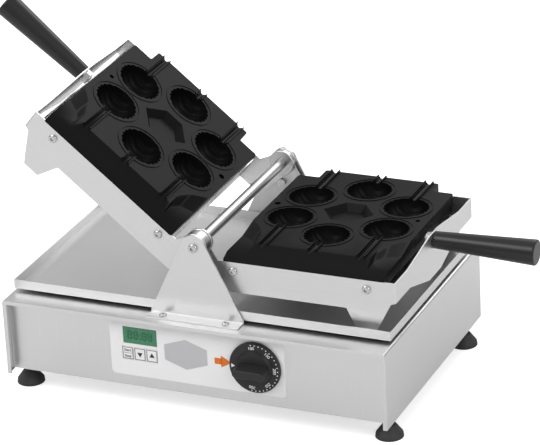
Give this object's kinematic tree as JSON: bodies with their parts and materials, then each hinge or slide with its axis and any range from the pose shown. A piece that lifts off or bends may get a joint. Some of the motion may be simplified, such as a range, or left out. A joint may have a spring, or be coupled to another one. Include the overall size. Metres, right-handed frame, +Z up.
{
  "type": "waffle stick maker",
  "caption": "Countertop cooker with two hinged, swinging baking halves on one rod, ringed ball cavities with stick channels, a drip tray, a dial and a timer panel.",
  "frame": {"origin": "on the table, under the centre of the whole object's box", "axes": "+X along the hinge's cross direction, towards the half that lies flat; +Y to the rear, along the hinge rod; +Z up"},
  "size_m": [0.7618, 0.3974, 0.4998],
  "materials": {
    "steel_brushed": "brushed",
    "steel_bright": "polished",
    "zinc_steel": "satin",
    "plate_coating": "cast, black non-stick coated",
    "black_plastic": "moulded",
    "bakelite": "moulded",
    "rubber_black": "moulded",
    "overlay_white": "printed film",
    "key_white": "moulded",
    "display_tint": "tinted",
    "heater_steel": "heat tinted",
    "insulation_wool": "mineral fibre",
    "board_green": "laminate",
    "terminal_white": "moulded"
  },
  "bodies": {
    "base": {"housing_shell": "steel_brushed", "front_panel": "steel_brushed", "rear_panel": "steel_brushed", "bottom_cover": "zinc_steel", "rear_panel_screws": "steel_bright", "control_overlay": "overlay_white", "display_window": "display_tint", "thermostat_body": "zinc_steel", "timer_board": "board_green", "heater_relay": "black_plastic", "terminal_block": "terminal_white", "cable_gland": "black_plastic", "gland_nut": "black_plastic", "foot_rubbers": "rubber_black", "foot_studs": "steel_bright", "foot_nuts": "steel_bright", "drip_tray": "steel_brushed", "tray_pads": "rubber_black", "pivot_bracket_front": "steel_brushed", "pivot_bracket_rear": "steel_brushed", "bracket_screws": "steel_bright", "pivot_rod": "steel_bright", "rod_screws": "steel_bright", "spacer_front": "steel_bright", "spacer_rear": "steel_bright", "collar_front": "steel_bright", "collar_rear": "steel_bright"},
    "right_iron": {"frame_right": "steel_brushed", "baking_plate_right": "plate_coating", "heater_right": "heater_steel", "heater_clamp_right": "zinc_steel", "insulation_right": "insulation_wool", "back_cover_right": "steel_brushed", "plate_screws_right": "steel_bright", "handle_grip_right": "bakelite", "handle_stud_right": "steel_bright", "handle_nut_right": "steel_bright", "sensor_probe_right": "steel_bright", "stop_pins": "steel_bright"},
    "left_iron": {"frame_left": "steel_brushed", "baking_plate_left": "plate_coating", "heater_left": "heater_steel", "heater_clamp_left": "zinc_steel", "insulation_left": "insulation_wool", "back_cover_left": "steel_brushed", "plate_screws_left": "steel_bright", "handle_grip_left": "bakelite", "handle_stud_left": "steel_bright", "handle_nut_left": "steel_bright", "sensor_probe_left": "steel_bright"},
    "thermostat": {"thermostat_knob": "black_plastic"},
    "start_stop_key": {"key_start_stop": "key_white"},
    "down_key": {"key_down": "key_white"},
    "up_key": {"key_up": "key_white"}
  },
  "joints": [
    {"name": "right_iron_lift", "type": "hinge", "parent": "base", "child": "right_iron", "pos_m": [-0.036, -0.0023, 0.238], "axis": [0, -1, 0], "range_deg": [0, 39.5]},
    {"name": "left_iron_swing", "type": "hinge", "parent": "right_iron", "child": "left_iron", "pos_m": [-0.036, -0.0023, 0.238], "axis": [0, 1, 0], "range_deg": [0, 140.5]},
    {"name": "thermostat_turn", "type": "hinge", "parent": "base", "child": "thermostat", "pos_m": [0.052, -0.1683, 0.0865], "axis": [0, 1, 0], "range_deg": [0, 270]},
    {"name": "start_stop_press", "type": "slide", "parent": "base", "child": "start_stop_key", "axis": [0, 1, 0], "range_m": [0, 0.0005], "stiffness_N_per_m": 1500, "springref_m": -0.0003},
    {"name": "down_press", "type": "slide", "parent": "base", "child": "down_key", "axis": [0, 1, 0], "range_m": [0, 0.0005], "stiffness_N_per_m": 1500, "springref_m": -0.0003},
    {"name": "up_press", "type": "slide", "parent": "base", "child": "up_key", "axis": [0, 1, 0], "range_m": [0, 0.0005], "stiffness_N_per_m": 1500, "springref_m": -0.0003}
  ]
}
